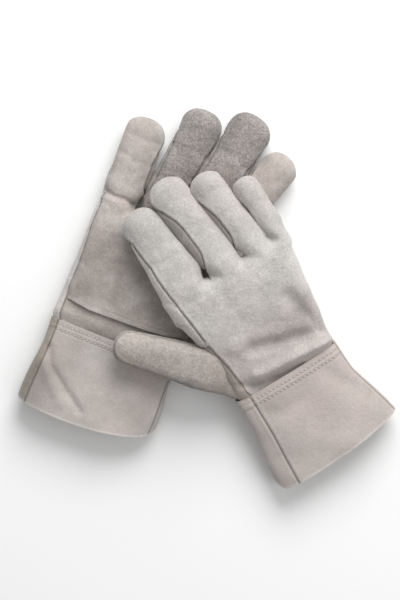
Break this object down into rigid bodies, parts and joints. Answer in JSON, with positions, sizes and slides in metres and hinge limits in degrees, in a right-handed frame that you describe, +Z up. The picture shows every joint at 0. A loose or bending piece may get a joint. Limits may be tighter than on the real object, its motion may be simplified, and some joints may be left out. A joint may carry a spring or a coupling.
{
  "type": "welding gloves",
  "caption": "Pair of short-gauntlet split-leather work gloves lying crossed, one palm up and one palm down over it, with open stitched cuffs.",
  "frame": {"origin": "middle of the pair's footprint, on the floor it lies on", "axes": "+Z up out of the floor, +Y roughly the way the fingers point, +X to the right with the palm-up glove on the left"},
  "size_m": [0.3112, 0.3072, 0.0666],
  "materials": {
    "back_split": "suede nap, very pale warm grey",
    "palm_split": "suede nap, pale pinkish grey",
    "rough_finger_split": "coarse suede, mid grey",
    "side_wall_split": "suede nap, grey",
    "cuff_split": "stiff smooth split, pale grey",
    "cotton_lining": "unbleached cotton",
    "canvas_lining": "unbleached canvas",
    "sewing_thread": "waxed thread"
  },
  "bodies": {
    "lower_glove": {"lower_cuff_back": "cuff_split", "lower_cuff_lining": "canvas_lining", "lower_cuff_little_side": "cuff_split", "lower_cuff_palm": "cuff_split", "lower_cuff_seam_stitches": "sewing_thread", "lower_cuff_thumb_side": "cuff_split", "lower_fourchettes": "side_wall_split", "lower_hand_back": "palm_split", "lower_hand_lining": "cotton_lining", "lower_little_side_band": "side_wall_split", "lower_middle_finger_front": "rough_finger_split", "lower_palm": "palm_split", "lower_palm_patch": "palm_split", "lower_ring_finger_front": "rough_finger_split", "lower_thumb_side_band": "side_wall_split", "lower_wrist_side_band": "side_wall_split"},
    "lower_little_finger": {"lower_little_finger_back": "palm_split", "lower_little_finger_front": "palm_split", "lower_little_finger_sides": "side_wall_split"},
    "lower_ring_fingertip": {"lower_ring_fingertip_back": "palm_split", "lower_ring_fingertip_front": "rough_finger_split", "lower_ring_fingertip_sides": "side_wall_split"},
    "lower_middle_fingertip": {"lower_middle_fingertip_back": "palm_split", "lower_middle_fingertip_front": "rough_finger_split", "lower_middle_fingertip_sides": "side_wall_split"},
    "lower_index_fingertip": {"lower_index_fingertip_back": "palm_split", "lower_index_fingertip_front": "palm_split", "lower_index_fingertip_sides": "side_wall_split"},
    "lower_thumb": {"lower_thumb_back": "palm_split", "lower_thumb_front": "palm_split", "lower_thumb_sides": "side_wall_split"},
    "upper_glove": {"upper_bar_tacks": "sewing_thread", "upper_cuff_back": "cuff_split", "upper_cuff_lining": "canvas_lining", "upper_cuff_little_side": "cuff_split", "upper_cuff_palm": "cuff_split", "upper_cuff_seam_stitches": "sewing_thread", "upper_cuff_thumb_side": "cuff_split", "upper_hand_back": "back_split", "upper_hand_lining": "cotton_lining", "upper_little_side_band": "side_wall_split", "upper_palm": "back_split", "upper_palm_patch": "back_split", "upper_thumb_side_band": "side_wall_split", "upper_wrist_side_band": "side_wall_split"},
    "upper_index_finger": {"upper_index_finger_back": "back_split", "upper_index_finger_front": "back_split", "upper_index_finger_sides": "side_wall_split"},
    "upper_middle_finger": {"upper_middle_finger_back": "back_split", "upper_middle_finger_front": "back_split", "upper_middle_finger_sides": "side_wall_split"},
    "upper_ring_finger": {"upper_ring_finger_back": "back_split", "upper_ring_finger_front": "back_split", "upper_ring_finger_sides": "side_wall_split"},
    "upper_little_finger": {"upper_little_finger_back": "back_split", "upper_little_finger_front": "back_split", "upper_little_finger_sides": "side_wall_split"},
    "upper_thumb": {"upper_thumb_back": "back_split", "upper_thumb_front": "back_split", "upper_thumb_sides": "side_wall_split"}
  },
  "joints": [
    {"name": "lower_little_finger_bend", "type": "hinge", "parent": "lower_glove", "child": "lower_little_finger", "pos_m": [-0.07204, 0.083, 0.02525], "axis": [0.9179, -0.3969, 0], "range_deg": [0, 45]},
    {"name": "lower_ring_fingertip_bend", "type": "hinge", "parent": "lower_glove", "child": "lower_ring_fingertip", "pos_m": [-0.02247, 0.11466, 0.02525], "axis": [0.8774, -0.4797, 0], "range_deg": [0, 75]},
    {"name": "lower_middle_fingertip_bend", "type": "hinge", "parent": "lower_glove", "child": "lower_middle_fingertip", "pos_m": [0.01407, 0.11196, 0.02525], "axis": [0.8286, -0.5598, 0], "range_deg": [0, 75]},
    {"name": "lower_index_fingertip_bend", "type": "hinge", "parent": "lower_glove", "child": "lower_index_fingertip", "pos_m": [0.04476, 0.09545, 0.02525], "axis": [0.7507, -0.6606, 0], "range_deg": [0, 75]},
    {"name": "lower_thumb_spread", "type": "hinge", "parent": "lower_glove", "child": "lower_thumb", "pos_m": [0.01048, -0.0259, 0], "axis": [0, 0, 1], "range_deg": [-10, 0]},
    {"name": "upper_glove_lift", "type": "slide", "parent": "lower_glove", "child": "upper_glove", "axis": [0, 0, 1], "range_m": [0, 0.12]},
    {"name": "upper_index_finger_lift", "type": "hinge", "parent": "upper_glove", "child": "upper_index_finger", "pos_m": [-0.02394, 0.01523, 0.06692], "axis": [0.8165, 0.5773, -0.011], "range_deg": [0, 40]},
    {"name": "upper_middle_finger_lift", "type": "hinge", "parent": "upper_glove", "child": "upper_middle_finger", "pos_m": [0.00675, 0.03403, 0.06692], "axis": [0.7952, 0.6061, -0.017], "range_deg": [0, 40]},
    {"name": "upper_ring_finger_lift", "type": "hinge", "parent": "upper_glove", "child": "upper_ring_finger", "pos_m": [0.03147, 0.04918, 0.06692], "axis": [0.7852, 0.6189, -0.0197], "range_deg": [0, 40]},
    {"name": "upper_little_finger_lift", "type": "hinge", "parent": "upper_glove", "child": "upper_little_finger", "pos_m": [0.05041, 0.06079, 0.06692], "axis": [0.8063, 0.5913, -0.0139], "range_deg": [0, 40]},
    {"name": "upper_thumb_lift", "type": "hinge", "parent": "upper_glove", "child": "upper_thumb", "pos_m": [-0.01385, -0.05197, 0.05175], "axis": [0.2676, 0.9635, 0], "range_deg": [0, 50]}
  ]
}
